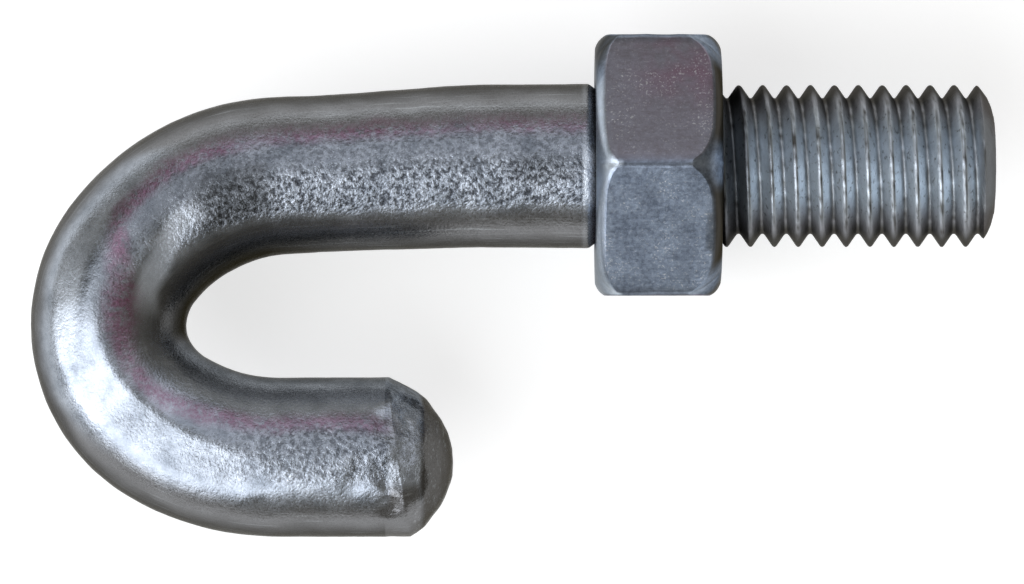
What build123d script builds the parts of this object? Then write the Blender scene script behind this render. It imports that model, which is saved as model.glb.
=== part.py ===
from build123d import *
from math import cos, radians, tan
import os

# A steel hook bolt with its hex nut, in millimetres.
# The thread's axis is X, and the stud points to +X. The origin is on that axis, where the
# nut's inner face stands against the shank. The round bar runs back to -X, bends through
# half a turn in the XY plane and ends below the shank, at -Y.

# Stud, measured from the nut's seat. Its M12 thread is drawn as a plain cylinder of the
# thread's outer diameter, and the pitch only sets the length of the neck.
thread_pitch = 1.75
thread_diameter = 11.9
stud_length = 29.1
stud_point_length = 1.17
stud_point_step = 0.75
stud_middle_diameter = 9.85
stud_end_diameter = 7.2
shoulder_before_seat = 0.5
shoulder_past_seat = 0.3
shoulder_angle = 35.0
neck_diameter = 9.6
neck_pitches = 1.2

# Bar: a straight shank, a slight bend, a drawn-out leg, then three bends that make the hook
shank_diameter = 12.05
shank_straight = 7.36
offset_radius = 60.0
offset_turn = 2.9
leg_length = 12.68
hook_diameter = 11.72
crown_radius = 14.45
crown_turn = 50.1
back_radius = 8.62
back_turn = 96.3
heel_radius = 16.07
half_turn = 180.0
point_leg_length = 7.7

# Free end of the hook: a shoulder of two cones and a low dome, turned about an axis of
# their own that lies a little below the bar's
point_drop = 0.38
point_length = 5.15
point_shoulder_start = 0.45
point_shoulder_overrun = 0.1
point_shoulder_middle = (2.2, 5.3)
point_shoulder_end = (3.5, 4.1)

# Hex nut
nut_across_flats = 19.0
nut_height = 9.15
nut_face_diameter = 17.3
nut_chamfer_angle = 38.0
nut_mouth_diameter = 12.6
nut_mouth_angle = 60.0
nut_running_clearance = 0.05

# Stock left outside a turned profile, to be cut away
stock_margin = 1.0

x_dir = Vector(1, 0, 0)
z_dir = Vector(0, 0, 1)

# Stud: turned, from the shank's shoulder through a neck to a point with two chamfers
shoulder_length = shoulder_before_seat + shoulder_past_seat
shoulder_end_radius = shank_diameter / 2 - shoulder_length * tan(radians(shoulder_angle))
neck_end = shoulder_past_seat + neck_pitches * thread_pitch
thread_start = neck_end + (thread_diameter - neck_diameter) / 2
stud_point_start = stud_length - stud_point_length

with BuildPart() as stud:
    with BuildSketch(Plane.XY):
        with BuildLine():
            Polyline(
                (stud_point_start, thread_diameter / 2),
                (thread_start, thread_diameter / 2),
                (neck_end, neck_diameter / 2),
                (shoulder_past_seat, neck_diameter / 2),
                (shoulder_past_seat, shoulder_end_radius),
                (-shoulder_before_seat, shank_diameter / 2),
                (-shoulder_before_seat, 0),
                (stud_length, 0),
                (stud_length, stud_end_diameter / 2),
                (stud_point_start + stud_point_step, stud_middle_diameter / 2),
                close=True,
            )
        make_face()
    revolve(axis=Axis.X)

# Bar: its axis, with the leg's taper between the shank's run and the hook's
with BuildLine() as shank_axis:
    shank_run = Line((-shoulder_before_seat, 0), (-shank_straight, 0))
    offset_bend = JernArc(shank_run @ 1, shank_run % 1, offset_radius, offset_turn)
leg_start = offset_bend @ 1
leg_heading = offset_bend % 1
with BuildLine() as hook_axis:
    crown = JernArc(leg_start + leg_heading * leg_length, leg_heading, crown_radius, crown_turn)
    back = JernArc(crown @ 1, crown % 1, back_radius, back_turn)
    heel_turn = half_turn - offset_turn - crown_turn - back_turn
    heel = JernArc(back @ 1, back % 1, heel_radius, heel_turn)
    point_leg = Line(heel @ 1, heel @ 1 + x_dir * (point_leg_length + point_length))
point_base = heel @ 1 + x_dir * point_leg_length
point_axis = Axis(point_base - Vector(0, point_drop, 0), x_dir)

with BuildPart() as hook_bolt:
    add(stud.part)
    with BuildSketch(Plane(shank_run @ 0, x_dir=z_dir, z_dir=shank_run % 0)):
        Circle(shank_diameter / 2)
    sweep(path=shank_axis.line)
    with BuildSketch(Plane(leg_start, x_dir=leg_heading, z_dir=z_dir)):
        with BuildLine():
            Polyline(
                (0, 0),
                (leg_length, 0),
                (leg_length, hook_diameter / 2),
                (0, shank_diameter / 2),
                close=True,
            )
        make_face()
    revolve(axis=Axis(leg_start, leg_heading))
    with BuildSketch(Plane(crown @ 0, x_dir=z_dir, z_dir=leg_heading)):
        Circle(hook_diameter / 2)
    sweep(path=hook_axis.line)
    # the free end is turned down from the plain bar
    dome_height = point_length - point_shoulder_end[0]
    dome_radius = (point_shoulder_end[1] ** 2 + dome_height**2) / (2 * dome_height)
    waste_length = point_length + stock_margin
    point_skin_radius = hook_diameter / 2 + point_drop + point_shoulder_overrun
    waste_radius = point_skin_radius + stock_margin
    with BuildSketch(Plane(point_axis.position, x_dir=x_dir, z_dir=z_dir)):
        with BuildLine():
            RadiusArc(point_shoulder_end, (point_length, 0), dome_radius)
            Polyline(
                (point_length, 0),
                (waste_length, 0),
                (waste_length, waste_radius),
                (point_shoulder_start, waste_radius),
                (point_shoulder_start, point_skin_radius),
                point_shoulder_middle,
                point_shoulder_end,
            )
        make_face()
    revolve(axis=point_axis, mode=Mode.SUBTRACT)

# Hex nut: a prism with corners at the top and bottom, both ends turned to a cone
nut_corner_radius = nut_across_flats / 2 / cos(radians(30))
cone_outer = nut_corner_radius + stock_margin
cone_depth = (cone_outer - nut_face_diameter / 2) * tan(radians(nut_chamfer_angle))
nut_bore_diameter = thread_diameter + 2 * nut_running_clearance
mouth_depth = (nut_mouth_diameter - nut_bore_diameter) / 2 / tan(radians(nut_mouth_angle))

with BuildPart() as hex_nut:
    with BuildSketch(Plane.YZ):
        RegularPolygon(nut_across_flats / 2, 6, major_radius=False, rotation=30)
    extrude(amount=nut_height)
    with BuildSketch(Plane.XY):
        with BuildLine():
            Polyline(
                (0, 0),
                (0, nut_face_diameter / 2),
                (cone_depth, cone_outer),
                (nut_height - cone_depth, cone_outer),
                (nut_height, nut_face_diameter / 2),
                (nut_height, 0),
                close=True,
            )
        make_face()
    revolve(axis=Axis.X, mode=Mode.INTERSECT)
    with BuildSketch(Plane.XY):
        with BuildLine():
            Polyline(
                (0, 0),
                (0, nut_mouth_diameter / 2),
                (mouth_depth, nut_bore_diameter / 2),
                (nut_height - mouth_depth, nut_bore_diameter / 2),
                (nut_height, nut_mouth_diameter / 2),
                (nut_height, 0),
                close=True,
            )
        make_face()
    revolve(axis=Axis.X, mode=Mode.SUBTRACT)

os.makedirs("parts", exist_ok=True)
hook_bolt.part.label = "hook_bolt"
export_step(hook_bolt.part, "parts/hook_bolt.step")
hex_nut.part.label = "hex_nut"
export_step(hex_nut.part, "parts/hex_nut.step")
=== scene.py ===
import logging
import math
from collections.abc import Callable, Sequence
from dataclasses import dataclass
from enum import Enum
from typing import NamedTuple

import bmesh
import bpy
from mathutils import Matrix, Vector, noise


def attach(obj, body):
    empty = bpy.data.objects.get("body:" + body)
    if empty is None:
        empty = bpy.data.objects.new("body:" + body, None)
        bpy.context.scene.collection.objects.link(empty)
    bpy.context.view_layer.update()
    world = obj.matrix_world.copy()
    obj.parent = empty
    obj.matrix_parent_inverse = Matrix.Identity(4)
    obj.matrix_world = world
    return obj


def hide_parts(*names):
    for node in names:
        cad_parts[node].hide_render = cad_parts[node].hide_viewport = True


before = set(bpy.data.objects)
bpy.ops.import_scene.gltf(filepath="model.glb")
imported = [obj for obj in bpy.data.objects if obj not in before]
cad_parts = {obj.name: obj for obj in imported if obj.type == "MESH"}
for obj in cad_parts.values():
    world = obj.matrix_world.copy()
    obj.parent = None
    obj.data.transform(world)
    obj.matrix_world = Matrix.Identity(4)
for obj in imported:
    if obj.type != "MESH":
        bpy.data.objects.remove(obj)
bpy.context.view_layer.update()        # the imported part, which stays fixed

MM = 0.001
MERGE_DISTANCE = 0.004 * MM
LOG = logging.getLogger("hook_bolt")

Table = tuple[tuple[float, float], ...]
Socket = bpy.types.NodeSocket


class Body(Enum):
    """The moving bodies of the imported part."""

    HOOK = "hook"
    NUT = "nut"


class Slot(Enum):
    """The record's material slots."""

    HOOK = "hook_steel"
    NUT = "nut_steel"


class NutEnd(Enum):
    """The nut's two ends."""

    SHANK = 0
    STUD = 1


class Stretch(Enum):
    """The stretches of the nut's skin, from the middle of its flats to the bore's mouth."""

    WALL = "wall"
    CHAMFER = "chamfer"
    FACE = "face"


def linear(hex_colour: str) -> tuple[float, float, float, float]:
    """Turns an sRGB hex colour into Blender's linear one.

    Args:
        hex_colour: Six hex digits, without a mark before them.

    Returns:
        Red, green, blue and an alpha of 1.
    """
    parts = [int(hex_colour[i:i + 2], 16) / 255 for i in (0, 2, 4)]
    red, green, blue = (c / 12.92 if c <= 0.04045 else ((c + 0.055) / 1.055) ** 2.4 for c in parts)
    return red, green, blue, 1.0


def along_table(table: Table, x: float) -> float:
    """Reads a table of rising places and their values.

    Args:
        table: Pairs of place and value.
        x: The place to read.

    Returns:
        The value there, straight between the pairs and flat past the ends.
    """
    if x <= table[0][0]:
        return table[0][1]
    for (x0, y0), (x1, y1) in zip(table, table[1:]):
        if x <= x1:
            return y0 + (y1 - y0) * (x - x0) / (x1 - x0)
    return table[-1][1]


def fade(x: float, low: float, high: float) -> float:
    """Rises smoothly from 0 at low to 1 at high, or falls where high is below low."""
    t = min(1.0, max(0.0, (x - low) / (high - low)))
    return t * t * (3 - 2 * t)


@dataclass(frozen=True)
class Band:
    """A stretch with soft ends. It rises between two places and falls between two more, or stays open."""

    rise: tuple[float, float] | None = None
    fall: tuple[float, float] | None = None

    @classmethod
    def around(cls, middle: float, core: float, reach: float) -> "Band":
        """A band that is full within core of its middle and gone past reach."""
        return cls((middle - reach, middle - core), (middle + core, middle + reach))

    def at(self, x: float) -> float:
        """How far inside the band a place is, from 0 to 1."""
        up = fade(x, *self.rise) if self.rise else 1.0
        down = fade(x, self.fall[1], self.fall[0]) if self.fall else 1.0
        return up * down


@dataclass(frozen=True)
class Ripple:
    """Smooth random waves: their height, how many there are to a millimetre, and where they are read."""

    height: float
    rate: float
    shift: tuple[float, float, float] = (0.0, 0.0, 0.0)

    def at(self, point: Vector) -> float:
        """The wave's height at a point in millimetres."""
        return self.height * noise.noise(point * self.rate + Vector(self.shift))


def add_node(tree: bpy.types.NodeTree, kind: str, settings: dict[str | int, object] | None = None,
             links: dict[str | int, Socket] | None = None) -> bpy.types.Node:
    """Adds a node with its settings and links.

    Args:
        tree: The node tree that it goes into.
        kind: Blender's name for the kind of node.
        settings: Values of properties, or of input sockets by name or number.
        links: Input sockets by name or number, and the output that feeds each.

    Returns:
        The new node.
    """
    node = tree.nodes.new(kind)
    for key, value in (settings or {}).items():
        if isinstance(key, str) and key not in node.inputs:
            setattr(node, key, value)
    for key, value in (settings or {}).items():
        if not isinstance(key, str) or key in node.inputs:
            node.inputs[key].default_value = value
    for key, output in (links or {}).items():
        tree.links.new(output, node.inputs[key])
    return node


def from_axis(point: Vector) -> float:
    """How far a point lies from the X axis, in its own unit."""
    return math.hypot(point.y, point.z)


def move_from_axis(v: bmesh.types.BMVert, radius: float) -> None:
    """Moves a vertex square to the X axis, until it lies at a radius in millimetres."""
    share = radius * MM / from_axis(v.co)
    v.co.y *= share
    v.co.z *= share


def grow(bm: bmesh.types.BMesh,
         edges: list[bmesh.types.BMEdge]) -> tuple[list[bmesh.types.BMVert], list[bmesh.types.BMEdge]]:
    """Extrudes a ring of edges, and gives the new ring's vertices and edges."""
    grown = bmesh.ops.extrude_edge_only(bm, edges=edges)["geom"]
    ring = [g for g in grown if isinstance(g, bmesh.types.BMVert)]
    return ring, [g for g in grown if isinstance(g, bmesh.types.BMEdge)]


def take_in(bm: bmesh.types.BMesh, other: bmesh.types.BMesh) -> None:
    """Adds another bmesh's shape to this one, and frees the other."""
    carrier = bpy.data.meshes.new("carrier")
    other.to_mesh(carrier)
    other.free()
    bm.from_mesh(carrier)
    bpy.data.meshes.remove(carrier)


def finish_mesh(bm: bmesh.types.BMesh, name: str, materials: Sequence[bpy.types.Material], body: Body,
                sharp_degrees: float) -> bpy.types.Object:
    """Closes a bmesh into a shaded object that rides on a body.

    Args:
        bm: The shape, in metres. It is freed.
        name: The piece's name.
        materials: What covers it, in the order of its faces' numbers.
        body: The body that it moves with.
        sharp_degrees: Edges that turn by more than this stay crisp.

    Returns:
        The object.
    """
    bmesh.ops.remove_doubles(bm, verts=bm.verts, dist=MERGE_DISTANCE)
    bmesh.ops.recalc_face_normals(bm, faces=bm.faces)
    open_edges = sum(1 for edge in bm.edges if len(edge.link_faces) != 2)
    for face in bm.faces:
        face.smooth = True
    for edge in bm.edges:
        edge.smooth = edge.calc_face_angle(0.0) < math.radians(sharp_degrees)
    triangles = sum(len(face.verts) - 2 for face in bm.faces)
    mesh = bpy.data.meshes.new(name)
    bm.to_mesh(mesh)
    bm.free()
    for material in materials:
        mesh.materials.append(material)
    piece = bpy.data.objects.new(name, mesh)
    bpy.context.scene.collection.objects.link(piece)
    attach(piece, body.value)
    LOG.info("%s: %d triangles, %d open edges", name, triangles, open_edges)
    return piece


@dataclass(frozen=True)
class ScrewThread:
    """A right-hand thread about the X axis, as one ribbon of one pitch wound along it.

    Sizes are in millimetres. Half of the ridge's outline is given, as shares of the pitch from its middle
    and radii. The ridge's middle faces the camera at a quarter of a pitch.
    """

    pitch: float = 1.75
    steps_a_turn: int = 72
    half_ridge: Table = ((0.0, 5.94), (0.055, 5.905), (0.105, 5.81), (0.17, 5.645), (0.255, 5.43),
                         (0.34, 5.215), (0.4, 5.07), (0.45, 4.985), (0.5, 4.965))
    ridge_phase: float = 0.25
    rim_reach: float = 0.002

    def wind(self, bm: bmesh.types.BMesh, length: float, spare: int,
             radius_at: Callable[[float, float], float]) -> None:
        """Winds the ribbon, one turn spun and then copied, and presses its points to the radius wanted.

        Args:
            bm: The empty mesh that gets the ribbon.
            length: How far along X it has to reach, in millimetres.
            spare: How many turns before X = 0 it starts.
            radius_at: Gives a point's radius, in millimetres, from its place along X and the ridge's radius.
        """
        ridge = [(-share, radius) for share, radius in self.half_ridge[:0:-1]] + list(self.half_ridge)
        start = self.ridge_phase - spare
        chain = [bm.verts.new(((start + share) * self.pitch * MM, 0.0, radius * MM))
                 for share, radius in ridge]
        edges = [bm.edges.new(pair) for pair in zip(chain, chain[1:])]
        bmesh.ops.spin(bm, geom=chain + edges, cent=(0, 0, 0), axis=(1, 0, 0), angle=math.tau,
                       dvec=(self.pitch * MM / self.steps_a_turn, 0, 0), steps=self.steps_a_turn,
                       use_duplicate=False)
        one_turn = list(bm.verts) + list(bm.edges) + list(bm.faces)
        for turn in range(1, math.ceil(length / self.pitch) + spare):
            copied = bmesh.ops.duplicate(bm, geom=one_turn)["geom"]
            bmesh.ops.translate(bm, verts=[g for g in copied if isinstance(g, bmesh.types.BMVert)],
                                vec=(turn * self.pitch * MM, 0, 0))
        bmesh.ops.remove_doubles(bm, verts=bm.verts, dist=MERGE_DISTANCE)
        for v in bm.verts:
            move_from_axis(v, radius_at(v.co.x / MM, from_axis(v.co) / MM))

    @staticmethod
    def trim(bm: bmesh.types.BMesh, low: float, high: float) -> None:
        """Cuts the ribbon square at two places along X, given in millimetres."""
        for place, direction in ((low, -1.0), (high, 1.0)):
            bmesh.ops.bisect_plane(bm, geom=list(bm.verts) + list(bm.edges) + list(bm.faces),
                                   plane_co=(place * MM, 0, 0), plane_no=(direction, 0, 0), clear_outer=True)

    def rim(self, bm: bmesh.types.BMesh, place: float) -> list[bmesh.types.BMEdge]:
        """The open edges that lie at a place along X, in millimetres."""
        return [e for e in bm.edges
                if e.is_boundary and all(abs(v.co.x / MM - place) < self.rim_reach for v in e.verts)]


@dataclass(frozen=True)
class Spot:
    """A point on the bar: how far along it, how far to the bend's inside, how it faces, and where it is."""

    place: float
    across: float
    facing: float
    point: Vector


@dataclass(frozen=True)
class Patch:
    """A marked patch of the bar: how strong it is, and where it lies along, across and facing.

    Its place across is measured from a lane where it has one, and on both sides alike where it says so.
    """

    strength: float
    along: Band = Band()
    across: Band = Band()
    facing: Band = Band()
    lane: Table = ((0.0, 0.0),)
    both_sides: bool = False

    def at(self, spot: Spot) -> float:
        """How strong the patch is at a spot."""
        across = spot.across - along_table(self.lane, spot.place)
        if self.both_sides:
            across = abs(across)
        return (self.strength * self.along.at(spot.place) * self.across.at(across)
                * self.facing.at(spot.facing))


def strongest(groups: Sequence[Sequence[Patch]], spot: Spot) -> float:
    """The strongest of some groups of patches at a spot, where the patches of a group add up."""
    return max(sum(patch.at(spot) for patch in group) for group in groups)


class Marks(NamedTuple):
    """How stained, pitted, dirty, sooty and pale a point of the bolt is, each from 0 to 1. The dirt and soot
    also carry painted shade, and the pale mark painted highlights.
    """

    stain: float
    pits: float
    grime: float
    soot: float
    rub: float


@dataclass(frozen=True)
class BarMarks:
    """Where the bar is marked, in millimetres along it and shares of its half-width across it."""

    wobble: Ripple = Ripple(0.05, 0.45)
    stain_lane: Table = ((0.0, -0.51), (23.0, -0.5), (30.0, -0.48), (34.0, -0.4), (36.0, -0.1), (38.0, 0.18),
                         (44.0, 0.24), (50.0, 0.34), (56.0, 0.44), (66.0, 0.46), (68.5, 0.42))
    stain_strength: Table = ((0.0, 0.9), (3.0, 0.7), (6.0, 0.9), (10.0, 0.5), (16.0, 1.0), (22.0, 0.8),
                             (25.0, 0.5), (27.0, 1.0), (34.0, 0.8), (37.0, 0.6), (39.0, 1.0), (41.0, 0.9),
                             (44.0, 0.7), (48.0, 0.8), (56.0, 0.8), (66.0, 0.7), (68.3, 0.0))
    stain_place: Patch = Patch(0.8, Band((0.4, 0.9)), facing=Band((0.05, 0.35)))
    stain_width: float = 0.13
    stain_swell: Patch = Patch(0.14, Band.around(39.0, 1.0, 6.0))
    stain_edge: Band = Band(fall=(0.3, 1.3))
    front_pits: tuple[tuple[Patch, ...], ...] = (
        (Patch(0.55, Band(fall=(27.0, 34.0)), Band((-0.47, -0.4), (0.46, 0.54)), Band((0.2, 0.6))),
         Patch(0.45, Band(fall=(27.0, 34.0)), Band((-0.12, 0.05), (0.46, 0.54)), Band((0.2, 0.6)))),
        (Patch(0.7, Band((50.0, 60.0)), Band((-0.4, -0.2), (0.35, 0.45)), Band((0.2, 0.6))),))
    back_pits: Patch = Patch(0.3, facing=Band(fall=(-0.4, 0.2)))
    # brown towards both outlines, partly dirt and partly painted shade for the darker room that the sides
    # reflect
    side_grime: float = 0.85
    side_edge: tuple[float, float] = (0.46, 0.7)
    side_shift: tuple[float, float] = (0.26, 0.24)
    spared: Patch = Patch(1.0, Band.around(38.5, 6.0, 11.0), Band(fall=(-0.2, 0.0)))
    bare: Patch = Patch(1.0, Band((43.0, 47.0)), Band((0.0, 0.3)))
    # painted shade on the inside of the bend
    bend_grime: Patch = Patch(0.6, Band((34.0, 38.0), (42.0, 50.0)), Band((0.0, 0.25)))
    # the rims, the inside of the bend, a blotch, a hollow, the seam at the shank, and the crown's shade; on
    # the rims, the inside of the bend, the seam beside the nut and the crown this is painted shade
    dark: tuple[tuple[Patch, ...], ...] = (
        (Patch(0.4, across=Band((0.76, 0.93)), both_sides=True),
         Patch(-0.2, Band.around(37.0, 4.0, 9.0), Band((0.76, 0.93)), both_sides=True)),
        (Patch(0.5, Band((12.0, 26.0), (42.0, 47.0)), Band((0.45, 0.62))),
         Patch(0.35, Band((12.0, 26.0), (42.0, 47.0)), Band((0.74, 0.9)))),
        (Patch(0.6, Band.around(26.8, 2.0, 4.5), Band.around(0.12, 0.25, 0.5)),),
        (Patch(0.45, Band.around(33.0, 2.0, 4.0), Band.around(-0.08, 0.1, 0.22)),),
        (Patch(0.35, Band.around(3.0, 2.0, 4.5), Band.around(0.06, 0.1, 0.22)),),
        (Patch(0.16, Band(fall=(42.0, 46.0)), Band.around(-0.2, 0.14, 0.32)),
         Patch(0.24, Band((22.0, 28.0), (40.0, 43.0)), Band.around(-0.2, 0.14, 0.32))))
    # a pale streak, which is a painted highlight
    streak: Patch = Patch(0.42, Band((28.5, 31.0), (37.0, 41.0)), Band.around(0.0, 0.08, 0.2),
                          lane=((29.0, 0.12), (32.0, 0.18), (35.0, 0.38), (41.0, 0.55)))
    # the inside of the tail, the outer edge of the leg, and the start of the bend's bright flat, painted
    # paler; on the bend's flat this is a painted highlight
    pale: tuple[tuple[Patch, ...], ...] = (
        (Patch(0.3, Band((45.0, 55.0)), Band((0.45, 0.6), (0.86, 0.96))),),
        (Patch(0.16, Band(fall=(34.0, 40.0)), Band.around(-0.63, 0.08, 0.16)),),
        (Patch(0.36, Band((34.0, 39.0), (40.5, 44.0)), Band.around(-0.54, 0.1, 0.2)),))
    # the collar under the nut is painted pale, a chalky bloom with a painted highlight on its chamfer
    collar_place: Patch = Patch(1.0, Band(fall=(0.85, 0.98)), facing=Band((-0.2, 0.3)))
    collar_rest: float = 0.12
    collar_middle: Patch = Patch(0.75, across=Band.around(0.12, 0.25, 0.5))
    collar_worn: float = 0.8
    collar_ripple: Ripple = Ripple(0.5, 1.2)
    collar_foot: Patch = Patch(0.62, Band(fall=(0.3, 0.5)))
    # the free end, in millimetres from where its finish changes
    end_start: float = 66.38
    shoulder: Band = Band((0.3, 0.9))
    dome: Band = Band((2.7, 3.2))
    low_side: Band = Band(fall=(-0.45, -0.25))
    low_grime: float = 0.85
    shoulder_pits: float = 0.35
    shoulder_cloud: Ripple = Ripple(1.0, 0.9)
    cloud_edge: Band = Band((0.0, 0.3))
    cloud_soot: tuple[float, float] = (0.04, 0.3)
    # painted shade at the shoulder's inner edge
    shoulder_edge: Patch = Patch(0.2, across=Band((0.7, 0.9)))
    dome_soot: float = 0.46
    # painted highlights on the shoulder
    shoulder_shine: Patch = Patch(0.5, Band((1.0, 1.8)), Band.around(0.62, 0.06, 0.16), Band((0.2, 0.5)))
    shoulder_pale: Patch = Patch(0.3, across=Band(fall=(0.7, 0.86)), facing=Band((0.2, 0.5)))

    def at(self, place: float, around: float, point: Vector) -> Marks:
        """Says how the bar's skin is marked.

        Args:
            place: How far along the bar, in millimetres.
            around: The angle round it from the inside of the bend, in radians.
            point: The point, in millimetres.

        Returns:
            Its marks.
        """
        spot = Spot(place, math.cos(around) + self.wobble.at(point), math.sin(around), point)
        streak = self.streak.at(spot)
        marks = Marks(stain=self.stain_at(spot),
                      pits=strongest(self.front_pits, spot) + self.back_pits.at(spot),
                      grime=self.grime_at(spot),
                      soot=strongest(self.dark, spot) * (1 - 2 * streak),
                      rub=max(streak, strongest(self.pale, spot), self.collar_at(spot)))
        return self.end_at(spot, marks)

    def stain_at(self, spot: Spot) -> float:
        """How reddened a spot is, in a lane that swells on the bend."""
        width = self.stain_width + self.stain_swell.at(spot)
        gap = abs(spot.across - along_table(self.stain_lane, spot.place)) / width
        reddened = self.stain_place.at(spot) * along_table(self.stain_strength, spot.place)
        return reddened * self.stain_edge.at(gap)

    def grime_at(self, spot: Spot) -> float:
        """How brown a spot is, on both sides of the bar and on the inside of the bend: partly dirt, partly
        painted shade.
        """
        spared = self.spared.at(spot)
        start, full = (edge + shift * spared for edge, shift in zip(self.side_edge, self.side_shift))
        side = self.side_grime * fade(abs(spot.across), start, full) * (1 - self.bare.at(spot))
        return max(side, self.bend_grime.at(spot))

    def collar_at(self, spot: Spot) -> float:
        """How pale a spot is on the collar under the nut, a chalky bloom with a painted highlight."""
        worn = self.collar_worn + self.collar_ripple.at(spot.point)
        rubbed = max(self.collar_rest + self.collar_middle.at(spot) * worn, self.collar_foot.at(spot))
        return rubbed * self.collar_place.at(spot)

    def end_at(self, spot: Spot, marks: Marks) -> Marks:
        """Changes a spot's marks for the free end's shoulder and dome, with painted shade at the shoulder's
        inner edge and painted highlights on the shoulder.

        Args:
            spot: The spot.
            marks: Its marks, as on the rest of the bar.

        Returns:
            The marks, changed where the spot is on the free end.
        """
        past = spot.place - self.end_start
        if past <= self.shoulder.rise[0]:
            return marks
        spot = Spot(past, spot.across, spot.facing, spot.point)
        dome = self.dome.at(past)
        shoulder = self.shoulder.at(past) * (1 - dome)
        low = self.low_side.at(spot.across)
        high_shoulder = shoulder * (1 - low)
        rest, clouded = self.cloud_soot
        cloud = self.cloud_edge.at(self.shoulder_cloud.at(spot.point))
        return marks._replace(
            pits=max(marks.pits * (1 - dome), self.shoulder_pits * high_shoulder),
            grime=max(marks.grime * (1 - shoulder) + shoulder * self.low_grime * low, dome),
            soot=max(high_shoulder * (rest + clouded * cloud), shoulder * self.shoulder_edge.at(spot),
                     self.dome_soot * dome),
            rub=max(shoulder * self.shoulder_shine.at(spot), high_shoulder * self.shoulder_pale.at(spot)))


@dataclass(frozen=True)
class StudMarks:
    """Where the threaded stud is marked, in millimetres and shares."""

    root: Band = Band(fall=(5.0, 5.16))
    root_dirt: float = 0.5
    root_ripple: Ripple = Ripple(0.6, 2.6)
    crest: Band = Band((5.8, 5.87))
    crest_dirt: float = 0.42
    crest_ripple: Ripple = Ripple(1.0, 3.1)
    end: Band = Band((27.6, 28.3))
    end_dirt: float = 0.7
    end_stain: float = 0.3
    # painted shade towards the stud's outlines
    side_dirt: float = 0.9
    side_dirt_edge: Band = Band(fall=(0.35, 0.8))
    side_stain: float = 0.6
    side_stain_edge: Band = Band(fall=(0.6, 0.93))
    # the nut's painted shadow on the thread beside it, faint under the nut
    beside_nut: Band = Band(fall=(10.6, 11.4))
    under_nut: Band = Band((8.4, 9.4))
    under_nut_share: float = 0.2
    beside_nut_soot: float = 0.6
    pits: float = 0.15
    # nearer to the axis than this, a point faces along it
    axis_reach: float = 0.1

    def at(self, point: Vector) -> Marks:
        """The marks at a point in millimetres."""
        radius = from_axis(point)
        level = abs(point.z) / radius if radius > self.axis_reach else 1.0
        end = self.end.at(point.x)
        grime = max(self.root.at(radius) * (self.root_dirt + self.root_ripple.at(point)),
                    self.crest.at(radius) * (self.crest_dirt + self.crest_ripple.at(point)),
                    self.side_dirt * self.side_dirt_edge.at(level), self.end_dirt * end)
        shade = self.under_nut_share + (1 - self.under_nut_share) * self.under_nut.at(point.x)
        return Marks(stain=self.side_stain * self.side_stain_edge.at(level) + self.end_stain * end,
                     pits=self.pits, grime=grime,
                     soot=self.beside_nut_soot * self.beside_nut.at(point.x) * shade, rub=0.0)


@dataclass(frozen=True)
class Bend:
    """A stretch of the bar's axis, straight where it has no turn. Millimetres and degrees."""

    size: float
    turn: float = 0.0

    @property
    def length(self) -> float:
        """How long the stretch is."""
        return self.size * math.radians(self.turn) if self.turn else self.size


@dataclass(frozen=True)
class Dent:
    """A flat or hollow pressed into the bar: where it is, how wide, how deep. Millimetres and degrees."""

    place: float
    angle: float
    width: float
    depth: float


@dataclass(frozen=True)
class DieFlat:
    """A long flat that the bending die left on the bar, with its turn round it. Millimetres and degrees."""

    along: Band
    angles: Table
    depth: float


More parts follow.
